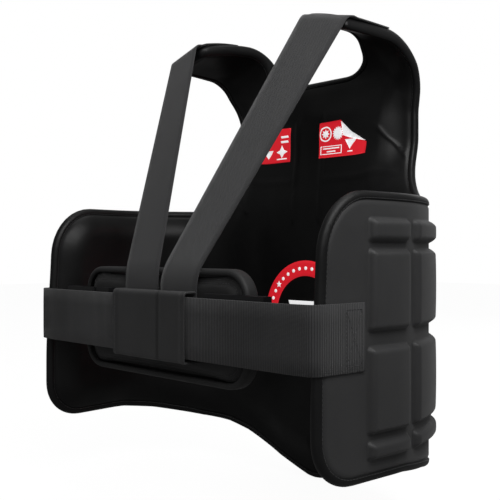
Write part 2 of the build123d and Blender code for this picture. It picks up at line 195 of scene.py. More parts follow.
def crest_y(x, y):
    """Depth at which the shoulder's crest lies, from the plan point below it."""
    return y - LEAN - FLATTEN * smooth(x, CORNER_X, 141.0) + FOLD_R


def face(s, t):
    """Point of the outer face: s round the vest, t up the front and over the shoulder."""
    x, y = plan(s)
    top = top_z(x)
    rise = np.asarray(t, float) - (top - FOLD_R)
    turn = np.clip(rise / FOLD_R, 0, math.pi / 2)
    past = np.maximum(0, rise - FOLD_R * math.pi / 2)
    part = past / np.maximum(20.0, SHOULDER_END_Y - crest_y(x, y))
    drop = REAR_DROP - DROP_FADE * np.maximum(0, x - SLOPE_START)
    z = np.where(rise < 0, t, top - FOLD_R + FOLD_R * np.sin(turn)) - drop * part**2
    y = y + FOLD_R * (1 - np.cos(turn)) + past
    upper = smooth(t, 350.0, 430.0) * (1 - smooth(x, 160.0, 200.0))
    y = y - (LEAN + FLATTEN * smooth(x, CORNER_X, 141.0)) * upper
    y = y + (LOW_REACH - REAR_SLOPE * smooth(t, 150.0, 320.0)) * smooth(s, S_ARC_END, S_REAR)
    return np.stack([x, y, z], -1)


def outward(s, t):
    """Unit normal of the outer face, pointing away from the wearer."""
    step = 0.5
    along = face(s + step, t) - face(s - step, t)
    up = face(s, t + step) - face(s, t - step)
    return unit(np.cross(along, up))


def at(s, t, depth):
    """Point at a depth inside the outer face. Round the armholes the rim runs straight back."""
    s = np.asarray(s, float)
    t = np.asarray(t, float)
    depth = np.asarray(depth, float)
    turn = np.clip((s - CORNER_X) / CORNER_R, 0, math.radians(35))
    keep = 1 - smooth(s, 175.0, 235.0)
    s = s + depth * np.tan(turn) * keep
    return face(s, t) - outward(s, t) * depth[..., None]


def shoulder_end_t(x):
    """How far up and over the shoulder line ends, at width x."""
    _, y = plan(s_of_x(x))
    flat = SHOULDER_END_Y - float(crest_y(x, y))
    return float(top_z(x)) - FOLD_R + FOLD_R * math.pi / 2 + flat


def bottom_z(s):
    """Lower edge: a pointed apron in front that rises to the wings."""
    x, y = plan(s)
    x, y = float(x), float(y)
    if y > 20:
        return WING_LOW_Z
    if y > -30:
        return 71 + (y + 30) * (WING_LOW_Z - 71) / 50
    if y > -92:
        return 71 + (y + 30) * 0.22
    return float(np.interp(x, *zip(*APRON_EDGE)))


def edge_thick(s, t):
    """Thickness at the bound edge: full round the apron, less at the neck, thin elsewhere."""
    low_front = (1 - smooth(s, 110.0, 220.0)) * (1 - smooth(t, 250.0, 350.0))
    neck = 0.6 * (1 - smooth(s, 90.0, 125.0)) * (1 - smooth(t, 540.0, 580.0)) * smooth(t, 350.0, 420.0)
    thin = (EDGE_THICK - SHOULDER_THICK) * smooth(t, 500.0, 580.0)
    return EDGE_THICK - thin + (THICK - EDGE_THICK) * np.maximum(low_front, neck)


# ---- outline of the flat pattern
def rounded(points, steps=9):
    """Path through (s, t, radius) corners, with each corner rounded by an arc."""
    path = []
    for i, (px, py, radius) in enumerate(points):
        here = Vector((px, py))
        if i in (0, len(points) - 1) or radius <= 0:
            path.append(here)
            continue
        back = (Vector(points[i - 1][:2]) - here).normalized()
        ahead = (Vector(points[i + 1][:2]) - here).normalized()
        if math.pi - back.angle(ahead) < math.radians(2):
            path.append(here)
            continue
        half = back.angle(ahead) / 2
        reach = radius / math.tan(half)
        start, stop = here + back * reach, here + ahead * reach
        centre = here + (back + ahead).normalized() * (radius / math.sin(half))
        arm_a, arm_b = start - centre, stop - centre
        sweep = arm_a.angle(arm_b)
        for k in range(steps + 1):
            f = k / steps
            part = (math.sin((1 - f) * sweep) * arm_a + math.sin(f * sweep) * arm_b) / math.sin(sweep)
            path.append(centre + part)
    return path


def resample(path, pitch):
    """The same path with points spaced about pitch apart."""
    path = np.array([tuple(p) for p in path], float)
    gaps = np.linalg.norm(np.diff(path, axis=0), axis=1)
    keep = np.concatenate([[True], gaps > 1e-6])
    path = path[keep]
    run = distance_along(path)
    count = max(2, int(round(run[-1] / pitch)) + 1)
    return values_at(np.linspace(0, run[-1], count), run, path)


def vest_outline():
    """Edge of the left half of the vest, from the tip of the apron round to the neck."""
    low = [(0.0, APRON_TIP + 3.4, 0), (10.0, APRON_TIP + 4.2, 14)]
    low += [(s_of_x(x), bottom_z(s_of_x(x)), 20) for x in (30.0, 60.0, 90.0)]
    s = 118.0
    while s < S_REAR - 60:
        low.append((s, bottom_z(s), 12))
        s += 16.0
    end_inner, end_outer = SHOULDER_END_X
    end_middle = (end_inner + end_outer) / 2
    high = [
        (S_REAR, WING_LOW_Z, 46),
        (S_REAR, SIDE_TOP_Z, 62),
        (s_of_x(ARM_HALF), SIDE_TOP_Z, 60),
        (s_of_x(ARM_HALF), 460.0, 30),
        (s_of_x(SHOULDER_HALF), 515.0, 40),
        (s_of_x(end_outer), shoulder_end_t(end_outer), 9),
        (s_of_x(end_middle), shoulder_end_t(end_middle), 60),
        (s_of_x(end_inner), shoulder_end_t(end_inner), 9),
        (s_of_x(NECK_HALF + 4), 600.0, 60),
        (s_of_x(NECK_HALF), 560.0, 60),
        (s_of_x(NECK_HALF), NECK_Z, 34),
        (0.0, NECK_Z, 0),
    ]
    return resample(rounded(low + high), 4.0)


OUTLINE = vest_outline()


def inward_normals(path):
    """Unit directions into the pattern, square to its edge."""
    along = unit(np.gradient(path, axis=0))
    normal = np.stack([-along[:, 1], along[:, 0]], -1)
    normal[0] = (0, 1)
    normal[-1] = (0, -1)
    return normal


EDGE_IN = inward_normals(OUTLINE)


def ring_inside(inset):
    """The vest's edge moved inwards on the flat pattern."""
    ring = OUTLINE + EDGE_IN * inset
    ring[:, 0] = np.maximum(ring[:, 0], 0)
    return ring


def edge_distance(points):
    """Distance from each (s, t) point to the vest's edge."""
    points = np.asarray(points, float)
    a, b = OUTLINE[:-1], OUTLINE[1:]
    ab = b - a
    best = np.full(len(points), 1e9)
    for k in range(len(a)):
        rel = points - a[k]
        f = np.clip((rel @ ab[k]) / (ab[k] @ ab[k]), 0, 1)
        best = np.minimum(best, np.linalg.norm(rel - f[:, None] * ab[k], axis=1))
    return best


def inside_loop(points, loop):
    """True for each point that lies within a closed flat outline."""
    loop = np.vstack([loop, loop[:1]])
    x, y = points[:, 0] + 1e-6, points[:, 1]
    odd = np.zeros(len(points), bool)
    for (x0, y0), (x1, y1) in zip(loop[:-1], loop[1:]):
        if y0 == y1:
            continue
        hit = (y0 > y) != (y1 > y)
        cross = x0 + (y - y0) * (x1 - x0) / (y1 - y0)
        odd ^= hit & (x < cross)
    return odd


# ---- mesh helpers
def make_mesh(name, verts, faces, material=None, uv=None, flip=False):
    """A shaded-smooth mesh object from millimetre points."""
    verts = np.asarray(verts, float)
    if flip:
        faces = [tuple(reversed(f)) for f in faces]
    mesh = bpy.data.meshes.new(name)
    mesh.from_pydata((verts * MM).tolist(), [], [tuple(int(i) for i in f) for f in faces])
    mesh.update()
    mesh.validate()
    if uv is not None:
        layer = mesh.uv_layers.new(name="UVMap")
        index = np.zeros(len(mesh.loops), np.int32)
        mesh.loops.foreach_get("vertex_index", index)
        layer.data.foreach_set("uv", (np.asarray(uv, float)[index] * MM).astype(np.float32).ravel())
    mesh.polygons.foreach_set("use_smooth", [True] * len(mesh.polygons))
    obj = bpy.data.objects.new(name, mesh)
    bpy.context.scene.collection.objects.link(obj)
    if material is not None:
        mesh.materials.append(material)
    return obj


def both_sides(name, verts, faces, material, uv=None):
    """The left piece and its mirror image, named left_ and right_."""
    left = make_mesh(f"left_{name}", verts, faces, material, uv)
    right = make_mesh(f"right_{name}", np.array(verts) * (-1, 1, 1), faces, material, uv, flip=True)
    return {"left": left, "right": right}


def grid_faces(rows, cols, close_rows=False, close_cols=False):
    """Quads of a grid whose vertex (i, j) has number i * cols + j."""
    faces = []
    for i in range(rows if close_rows else rows - 1):
        for j in range(cols if close_cols else cols - 1):
            i2, j2 = (i + 1) % rows, (j + 1) % cols
            faces.append((i * cols + j, i * cols + j2, i2 * cols + j2, i2 * cols + j))
    return faces


def triangles(points, edges, face):
    """Flat points and triangles that fill the outline face and keep the given edges."""
    result = delaunay_2d_cdt([Vector(p) for p in points], edges, [face], 1, 1e-5)
    return np.array([tuple(v) for v in result[0]]), result[2]


def pattern_mesh(rings, lines_s, lines_t, margin):
    """Triangles of the flat pattern: rings inside its edge, and grid lines further in."""
    points = []
    loops = []
    for inset in rings:
        ring = ring_inside(inset)
        loops.append(range(len(points), len(points) + len(ring)))
        points += [tuple(p) for p in ring]
    grid = np.array([(s, t) for s in lines_s for t in lines_t])
    keep = inside_loop(grid, OUTLINE) & (edge_distance(grid) > margin)
    grid = grid[keep]
    middle = len(points)
    points += [tuple(p) for p in grid]
    edges = [(a, b) for loop in loops for a, b in zip(loop[:-1], loop[1:])]
    border = list(loops[0])
    ends = {loop[k] for loop in loops for k in (0, -1)}
    seam = [i for i, point in enumerate(points) if abs(point[0]) < 1e-6 and (i >= middle or i in ends)]
    seam.sort(key=lambda i: points[i][1])
    edges += list(zip(seam[:-1], seam[1:]))
    face = border + [i for i in reversed(seam) if i not in (border[0], border[-1])]
    return triangles(points, edges, face)


def spaced(marks, low, high, pitch):
    """Sorted grid lines: the marks, with even lines filling every gap wider than pitch."""
    marks = sorted({round(m, 3) for m in marks if low <= m <= high} | {low, high})
    lines = [marks[0]]
    for a, b in zip(marks[:-1], marks[1:]):
        if b - a < 0.8:
            continue
        count = max(1, int(math.ceil((b - a) / pitch)))
        lines += [a + (b - a) * k / count for k in range(1, count + 1)]
    return lines


# ---- strike blocks on the cover
BLOCK_COLUMNS = [
    (6.0, s_of_x(101.0)),
    (CORNER_X + CORNER_R * math.radians(90 - 77.7), CORNER_X + CORNER_R * math.radians(90 - 43.4)),
    (CORNER_X + CORNER_R * math.radians(90 - 39.2), CORNER_X + CORNER_R * math.radians(90 - 8.0)),
    (s_of_y(14.0), s_of_y(74.0)),
]
BLOCKS = [(column, row) for column in BLOCK_COLUMNS for row in BLOCK_ROWS]
BLOCKS.append((BLOCK_COLUMNS[0], UPPER_ROW))


def block_lift(s, t):
    """How far the cover stands out over the moulded foam blocks."""
    lift = np.zeros(len(s))
    for (s0, s1), (t0, t1) in BLOCKS:
        half_s, half_t = (s1 - s0) / 2, (t1 - t0) / 2
        ds = np.abs(s - (s0 + s1) / 2) - half_s
        dt = np.abs(t - (t0 + t1) / 2) - half_t
        near = (ds < 3) & (dt < 3)
        if not near.any():
            continue
        ramp = 1 - (1 - np.clip(box_depth(ds[near], dt[near], 5.0) / BEVEL, 0, 1)) ** 1.7
        crown = np.clip(1 - ((ds[near] + half_s) / half_s) ** 2, 0, 1)
        crown *= np.clip(1 - ((dt[near] + half_t) / half_t) ** 2, 0, 1)
        height = (BLOCK_HEIGHT - 1.5) * ramp + 1.5 * np.sqrt(crown)
        lift[near] = np.maximum(lift[near], height)
    return lift


def edge_lines(low, high):
    """Grid lines that shape one bevelled side of a block."""
    offsets = (-1.2, 0.0, 1.4, 3.0, 4.6, 6.0, 7.6, 10.0)
    return [low + o for o in offsets] + [high - o for o in offsets]


def build_cover(material):
    marks_s = [m for s0, s1 in BLOCK_COLUMNS for m in edge_lines(s0, s1)]
    marks_t = [m for t0, t1 in (*BLOCK_ROWS, UPPER_ROW) for m in edge_lines(t0, t1)]
    lines_s = spaced(marks_s, 0.0, S_REAR, 6.0)
    lines_t = spaced(marks_t, 0.0, shoulder_end_t(SHOULDER_END_X[0]), 6.0)
    rings = (6.5, 8.0, 9.5, 11.5, 14.0)
    flat, faces = pattern_mesh(rings, lines_s, lines_t, 16.5)
    s, t = flat[:, 0], flat[:, 1]
    margin = edge_distance(flat)
    groove = 1.9 * (1 - smooth(margin, 7.0, 12.0))
    verts = at(s, t, groove - block_lift(s, t))
    return both_sides("cover", verts, faces, material, flat)


# ---- lining
RIDGES = (
    ((22.0, 372.0), (22.0, 470.0)),
    ((22.0, 330.0), (22.0, 368.0)),
    ((22.0, 381.0), (142.0, 381.0)),
    ((s_of_x(96.0), 446.0), (146.0, 399.0)),
    ((172.0, 384.0), (172.0, 436.0)),
    ((s_of_x(104.0), 345.0), (134.0, 365.0)),
)


def ridge_lift(s, t):
    """Narrow moulded ridges on the lining."""
    lift = np.zeros(len(s))
    points = np.stack([s, t], -1)
    for start, stop in RIDGES:
        a, b = np.array(start), np.array(stop)
        run = b - a
        f = np.clip(((points - a) @ run) / (run @ run), 0, 1)
        gap = np.linalg.norm(points - a - f[:, None] * run, axis=1)
        fade = smooth(f, 0, 0.08) * (1 - smooth(f, 0.92, 1))
        lift = np.maximum(lift, 1.3 * np.exp(-((gap / 2.3) ** 2)) * (0.3 + 0.7 * fade))
    return lift


def lining_depth(s, t):
    """Depth of the lining's surface inside the outer face."""
    margin = edge_distance(np.stack([s, t], -1))
    fall = np.clip((40.0 - margin) / 33.5, 0, 1) ** 2
    groove = 1.8 * (1 - smooth(margin, 6.5, 10.5))
    swell = CHEST_SWELL * smooth(margin, 13.0, 60.0) * (1 - smooth(s, 95.0, 180.0))
    swell *= 1 - smooth(t, 440.0, 530.0)
    middle = THICK - (THICK - SHOULDER_THICK) * smooth(t, 500.0, 580.0)
    quilt = 0.25 * np.sin(s / 31.0) * np.sin(t / 37.0)
    return middle - (middle - edge_thick(s, t)) * fall - groove + swell + quilt + ridge_lift(s, t)


def build_lining(material):
    rings = (6.5, 8.0, 9.5, 11.5, 14.0, 17.5)
    lines_s = spaced([], 0.0, S_REAR, 3.2)
    lines_t = spaced([], 0.0, shoulder_end_t(SHOULDER_END_X[0]), 3.2)
    flat, faces = pattern_mesh(rings, lines_s, lines_t, 19.5)
    s, t = flat[:, 0], flat[:, 1]
    verts = at(s, t, lining_depth(s, t))
    faces = [tuple(reversed(f)) for f in faces]
    return both_sides("lining", verts, faces, material, flat)


# ---- rolled binding and its seams
QUARTER = [math.radians(k * 90 / 8) for k in range(1, 9)]  # steps of a quarter turn


def binding_profile():
    """(inset, depth, share of the edge's thickness) round the rolled edge, cover to lining."""
    wide, high = 6.2, 7.6
    profile = [(8.6, 2.2, 0), (8.3, 0.9, 0), (7.4, -0.1, 0), (6.2, -0.6, 0)]
    profile += [(wide - wide * math.sin(a), 7.0 - high * math.cos(a), 0) for a in QUARTER]
    profile += [(wide - wide * math.cos(a), high * math.sin(a) - 7.0, 1) for a in QUARTER[:-1]]
    return profile + [(6.2, 0.6, 1), (7.4, 0.1, 1), (8.3, -0.9, 1), (8.6, -2.2, 1)]


def build_binding(material):
    profile = binding_profile()
    verts, uv = [], []
    run = distance_along(OUTLINE)
    thick = edge_thick(OUTLINE[:, 0], OUTLINE[:, 1])
    roll = np.minimum(1.0, (thick / 2 - 0.2) / 7.0)
    for j, (inset, depth, share) in enumerate(profile):
        ring = ring_inside(inset)
        verts.append(at(ring[:, 0], ring[:, 1], depth * roll + share * thick))
        uv.append(np.stack([run, np.full(len(run), j * 1.6)], -1))
    faces = grid_faces(len(profile), len(OUTLINE))
    return both_sides("binding", np.concatenate(verts), faces, material, np.concatenate(uv))


def stitch_mesh(centres, alongs, outs, length, radius=0.38):
    """Vertices and faces of a row of thread stitches, each a short tapered bead."""
    verts, faces = [], []
    stations = ((-0.5, 0.35), (-0.36, 0.85), (0.0, 1.0), (0.36, 0.85), (0.5, 0.35))
    sides = 6
    for centre, along, out in zip(centres, alongs, outs):
        side = np.cross(out, along)
        base = len(verts)
        for place, size in stations:
            sink = -0.25 * (abs(place) * 2) ** 3
            for k in range(sides):
                turn = 2 * math.pi * k / sides
                ring = side * math.cos(turn) + out * (math.sin(turn) * 0.8 + sink)
                verts.append(centre + along * (place * length) + ring * radius * size)
        tube = grid_faces(len(stations), sides, close_cols=True)
        faces += [tuple(base + i for i in f) for f in tube]
        faces.append(tuple(base + k for k in range(sides)))
        last = base + (len(stations) - 1) * sides
        faces.append(tuple(last + k for k in reversed(range(sides))))
    return verts, faces


def stitch_path(path, outs, pitch=4.2, length=3.0):
    """Stitches laid at an even pitch along a 3-D path, with one outward direction or one per point."""
    path = np.asarray(path, float)
    outs = np.broadcast_to(np.asarray(outs, float), path.shape)
    run = distance_along(path)
    places = np.arange(pitch / 2, run[-1], pitch)
    alongs = unit(values_at(places + 0.8, run, path) - values_at(places - 0.8, run, path))
    normals = values_at(places, run, outs)
    normals -= (normals * alongs).sum(1, keepdims=True) * alongs
    return stitch_mesh(values_at(places, run, path), alongs, unit(normals), length)


def merge(parts):
    """One vertex list and face list from several."""
    verts, faces = [], []
    for part_verts, part_faces in parts:
        base = len(verts)
        verts += [np.asarray(v) for v in part_verts]
        faces += [tuple(base + i for i in f) for f in part_faces]
    return np.array(verts), faces


def build_edge_stitching(material):
    s, t = ring_inside(7.0).T
    out = outward(s, t)
    cover_row = stitch_path(at(s, t, np.full(len(s), -0.25)), out)
    lining_row = stitch_path(at(s, t, edge_thick(s, t) + 0.45), -out)
    return both_sides("edge_stitching", *merge([cover_row, lining_row]), material)


# ---- ribbons: straps and elastics
def ribbon(centres, widths, outs, width, thickness, across=8, ribs=None, edge_round=0.5):
    """A flat strap swept along a path, as a closed skin, with UVs along and across it."""
    half = width / 2
    places = np.linspace(-half + edge_round, half - edge_round, across)
    section = [(p, thickness / 2) for p in places]
    section += [(half, thickness * 0.2), (half, -thickness * 0.2)]
    section += [(p, -thickness / 2) for p in places[::-1]]
    section += [(-half, -thickness * 0.2), (-half, thickness * 0.2)]
    run = distance_along(centres)
    verts, uv = [], []
    for i, (c, w, o) in enumerate(zip(centres, widths, outs)):
        lift = ribs(run[i]) if ribs else 0.0
        for a, b in section:
            inner = abs(a) < half - 2.0
            rise = lift if inner and b > 0 else 0.0
            verts.append(c + w * a + o * (b + rise))
            uv.append((run[i], a))
    cols = len(section)
    faces = grid_faces(len(centres), cols, close_cols=True)
    faces.append(tuple(range(cols)))
    faces.append(tuple(reversed(range((len(centres) - 1) * cols, len(centres) * cols))))
    return np.array(verts), faces, np.array(uv)


def bend_path(points, radii, pitch=3.0):
    """3-D path through points, with each inner corner eased by its own length."""
    points = [np.asarray(p, float) for p in points]
    path = [points[0]]
    for i in range(1, len(points) - 1):
        a, b, c = points[i - 1], points[i], points[i + 1]
        start = b + unit(a - b) * radii[i - 1]
        stop = b + unit(c - b) * radii[i - 1]
        for k in range(9):
            f = k / 8
            path.append((1 - f) ** 2 * start + 2 * f * (1 - f) * b + f * f * stop)
    path.append(points[-1])
    return resample(path, pitch)


def strap_path():
    """Middle line, width directions and outward directions of the left shoulder strap."""
    lift = 0.2 + STRAP_THICK / 2
    s_top = s_of_x(STRAP_TOP_X)
    heights = [shoulder_end_t(STRAP_TOP_X) - d for d in range(0, int(STRAP_GRIP) + 1, 7)]
    grip = [face(s_top, t) + outward(s_top, t) * lift for t in heights]
    leans = []
    for t in heights:
        lean = face(s_top + 5, t) - face(s_top - 5, t)
        back = face(s_top, t + 1) - face(s_top, t - 1)
        lean = lean / lean[0]
        leans.append(lean - back * (lean[1] - STRAP_SKEW) / back[1])
    fold = grip[0] + unit(grip[0] - grip[1]) * 3.0
    tab_y = PAD_HIGH[1] + 0.5 + STRAP_THICK / 2
    low = [(STRAP_LOW_X - 1.0, tab_y, 190.0), (STRAP_LOW_X, tab_y + 1.4, STRAP_BEND_Z)]
    middle = bend_path([*low, fold, grip[1]], [16.0, 6.0], 3.0)
    centres = np.vstack([middle, np.array(grip[2:])])
    along = unit(np.gradient(centres, axis=0))
    rise = np.clip((middle[:, 2] - STRAP_BEND_Z) / (grip[0][2] - STRAP_BEND_Z), 0, 1)[:, None]
    widths = np.array([1.0, 0.0, 0.0]) * (1 - rise) + leans[0] * rise
    widths = np.vstack([widths, np.array(leans[2:])])
    outs = unit(np.cross(along, widths))
    outs *= np.sign((outs * np.array([0.0, 0.4, 1.0])).sum(1, keepdims=True))
    return centres, widths, outs


def build_straps(material):
    centres, widths, outs = strap_path()
    verts, faces, uv = ribbon(centres, widths, outs, STRAP_WIDTH, STRAP_THICK, across=10)
    return both_sides("strap", verts, faces, material, uv)


def build_strap_stitching(material):
    """A sewn box on top of each shoulder."""
    centres, widths, outs = strap_path()
    centres += outs * (STRAP_THICK / 2 + 0.1)
    grip = slice(-10, -1)
    parts = []
    for side in (-STRAP_WIDTH / 2 + 5, STRAP_WIDTH / 2 - 5):
        parts.append(stitch_path(centres[grip] + widths[grip] * side, outs[grip]))
    for k in (-2, -7):
        ends = [centres[k] + widths[k] * a for a in np.linspace(-23, 23, 12)]
        parts.append(stitch_path(ends, outs[k]))
    return both_sides("strap_stitching", *merge(parts), material)


def rib_wave(run):
    """Fine cords that run across the elastic."""
    pitch = 2.3
    return 0.22 * math.sin(2 * math.pi * run / pitch) + 0.1 * math.sin(run / 7.3)


def band_path():
    """Middle line of the left elastic, from the sleeve round the wing's rear edge to its sewn end."""
    lift = 0.3 + 1.0
    wing_x = REAR_HALF + lift
    turn_y = REAR_Y - 7.0
    points = [
        (ELASTIC_LOW[0], BAND_Y, 0.0),
        (203.0, BAND_Y, 0.0),
        (wing_x - 1.0 + FLARE * 0.5, BAND_Y - 5.5 + BAND_REACH, 0.0),
        (wing_x + FLARE * (REAR_Y - turn_y), turn_y + BAND_REACH, 0.0),
        (wing_x + FLARE * (REAR_Y - ANCHOR_FRONT_Y), ANCHOR_FRONT_Y, 0.0),
    ]
    path = bend_path(points, [7.0, 9.0, 4.0], 0.575)
    path[:, 2] = (BAND_LOW + BAND_HIGH) / 2
    along = unit(np.gradient(path, axis=0))
    up = np.repeat([[0.0, 0.0, 1.0]], len(path), 0)
    outs = np.cross(up, along)
    outs *= np.sign(outs[:, :1] + outs[:, 1:2])
    return path, up, outs


def build_bands(material):
    path, up, outs = band_path()
    verts, faces, uv = ribbon(path, up, outs, BAND_HIGH - BAND_LOW, 2.0, across=5, ribs=rib_wave)
    return both_sides("waist_band", verts, faces, material, uv)


def build_band_stitching(material):
    """The box stitch that holds each elastic's end to the wing."""
    lift = 0.3 + 2.0 + 0.25
    low, high = BAND_LOW + 6.0, BAND_HIGH - 6.0
    near, far = ANCHOR_FRONT_Y + 4.0, ANCHOR_FRONT_Y + 25.0

    def on_wing(y, z):
        return np.array((REAR_HALF + lift + FLARE * (REAR_Y - y), y, z))

    out = unit((1.0, FLARE, 0.0))
    lines = [
        [(near, low), (near, high)],
        [(far, low), (far, high)],
        [(near, low), (far, low)],
        [(near, high), (far, high)],
        [(near, low), (far, high)],
        [(near, high), (far, low)],
    ]
    parts = []
    for start, stop in lines:
        path = [on_wing(*(np.array(start) * (1 - f) + np.array(stop) * f)) for f in np.linspace(0, 1, 6)]
        parts.append(stitch_path(path, out, pitch=3.6, length=2.7))
    return both_sides("band_stitching", *merge(parts), material)


# ---- back pad
def pad_margin(x, z):
    """Distance inside the pad's rounded outline."""
    du, dv = np.abs(x - PAD_MIDDLE[0]) - PAD_HALF[0], np.abs(z - PAD_MIDDLE[2]) - PAD_HALF[2]
    return box_depth(du, dv, PAD_CORNER)


def pad_outline(inset, count=28):
    """Points round the pad, with arcs at its corners."""
    radius = PAD_CORNER - inset
    points = []
    for quarter, (sx, sz) in enumerate(((1, -1), (1, 1), (-1, 1), (-1, -1))):
        cx = PAD_MIDDLE[0] + sx * (PAD_HALF[0] - PAD_CORNER)
        cz = PAD_MIDDLE[2] + sz * (PAD_HALF[2] - PAD_CORNER)
        for k in range(count // 4 + 1):
            turn = math.radians(-90 + quarter * 90 + 90 * k / (count // 4))
            points.append((cx + radius * math.cos(turn), cz + radius * math.sin(turn)))
    points.append(points[0])
    return resample([Vector(p) for p in points], 3.5)[:-1]


def build_pad(material):
    """The cushion is blown up as cloth, then its sewn channels are pressed in."""
    low_y, high_y = PAD_LOW[1] + 1.5, PAD_HIGH[1] - 3.0
    loop = pad_outline(4.0)
    count = len(loop)
    verts = [(x, y, z) for y in (low_y, high_y) for x, z in loop]
    faces = [tuple(range(count)), tuple(reversed(range(count, 2 * count)))]
    faces += [(j, (j + 1) % count, count + (j + 1) % count, count + j) for j in range(count)]
    pad = make_mesh("back_pad", verts, [tuple(reversed(f)) for f in faces], material)
    bpy.context.view_layer.objects.active = pad
    remesh = pad.modifiers.new("even", "REMESH")
    remesh.mode = "VOXEL"
    remesh.voxel_size = 4.5 * MM
    apply_modifiers(pad)
    rest = mesh_points(pad)
    cloth = pad.modifiers.new("fill", "CLOTH")
    cloth.settings.use_pressure = True
    cloth.settings.uniform_pressure_force = 4.0
    cloth.settings.effector_weights.gravity = 0.0
    cloth.settings.quality = 5
    for step in range(1, 21):
        bpy.context.scene.frame_set(step)
    apply_modifiers(pad)
    blown = mesh_points(pad)
    move = blown - rest
    size = np.linalg.norm(move, axis=1, keepdims=True)
    cap = 5.0
    move *= np.minimum(1.0, cap / np.maximum(size, 1e-6))
    points = rest + move
    bpy.context.scene.frame_set(1)
    points = np.clip(points, PAD_LOW - 1.0, PAD_HIGH + 0.6)
    set_points(pad, points)
    divide = pad.modifiers.new("soft", "SUBSURF")
    divide.levels = divide.render_levels = 1
    apply_modifiers(pad)
    points = mesh_points(pad)
    margin = pad_margin(points[:, 0], points[:, 2])
    facing = smooth(points[:, 1], PAD_MIDDLE[1] - 2, PAD_MIDDLE[1] + 6)
    crown = 1.6 * smooth(margin, 12, 42) - 0.6
    channels = sum(np.exp(-(((margin - m) / 1.3) ** 2)) for m in (10.5, 14.5))
    back = 1 - facing
    points[:, 1] += facing * (crown - 1.7 * channels) + back * 0.4
    roof = PAD_HIGH[1] + 0.3
    points[:, 1] = np.where(facing > 0.5, np.minimum(points[:, 1], roof), points[:, 1])
    points[:, 1] = np.maximum(points[:, 1], PAD_LOW[1] + 0.2)
    set_points(pad, points)
    return pad


def mesh_points(obj):
    co = np.zeros(len(obj.data.vertices) * 3, np.float32)
    obj.data.vertices.foreach_get("co", co)
    return co.reshape(-1, 3).astype(float) / MM


def set_points(obj, points):
    obj.data.vertices.foreach_set("co", (points * MM).astype(np.float32).ravel())
    obj.data.update()


def apply_modifiers(obj):
    """Replaces obj's mesh by its evaluated shape."""
    graph = bpy.context.evaluated_depsgraph_get()
    shape = bpy.data.meshes.new_from_object(obj.evaluated_get(graph))
    shape.polygons.foreach_set("use_smooth", [True] * len(shape.polygons))
    old = obj.data
    obj.modifiers.clear()
    obj.data = shape
    bpy.data.meshes.remove(old)


def build_pad_binding(material):
    """A corded edge all round the pad."""
    loop = pad_outline(0.0)
    closed = np.vstack([loop[-1:], loop, loop[:1]])
    along = unit(closed[2:] - closed[:-2])
    inward = np.stack([-along[:, 1], along[:, 0]], -1)
    depth = PAD_HIGH[1] - PAD_LOW[1]
    wide, high = 4.0, 4.8
    profile = [(7.0, -3.4), (6.6, -2.2), (5.4, -1.4), (4.0, -1.2)]
    profile += [(wide - wide * math.sin(a), high * math.cos(a) - 6.0) for a in QUARTER[:-1]]
    profile += [(0.0, -8.0), (0.0, -depth + 6.0)]
    profile += [(wide - wide * math.cos(a), -depth + 6.0 - high * math.sin(a)) for a in QUARTER[:-1]]
    profile += [(4.0, -depth + 1.2), (6.6, -depth + 2.2), (7.0, -depth + 3.4)]
    verts, uv = [], []
    run = np.arange(len(loop)) * 3.5
    for j, (inset, y) in enumerate(profile):
        ring = loop + inward * inset
        for (x, z), r in zip(ring, run):
            verts.append((x, PAD_HIGH[1] + y, z))
            uv.append((r, j * 1.2))
    faces = grid_faces(len(profile), len(loop), close_cols=True)
    return make_mesh("back_pad_binding_cord", verts, faces, material, uv, flip=True)


def surface_y(obj, points):
    """Depth (y) of obj's rear face at each (x, z) point, by casting a ray at it."""
    found = []
    for x, z in points:
        hit, place, _, _ = obj.ray_cast(Vector((x, 300, z)) * MM, Vector((0, -1, 0)))
        found.append(place[1] / MM if hit else PAD_HIGH[1] - 1.0)
    return np.array(found)


def build_pad_stitching(pad, material):
    parts = []
    for inset in (10.5, 14.5):
        loop = pad_outline(inset)
        loop = np.vstack([loop, loop[:1]])
        y = surface_y(pad, loop)
        path = np.stack([loop[:, 0], y + 0.15, loop[:, 1]], -1)
        parts.append(stitch_path(path, (0.0, 1.0, 0.0), pitch=4.0, length=2.9))
    return make_mesh("back_pad_stitching", *merge(parts), material)


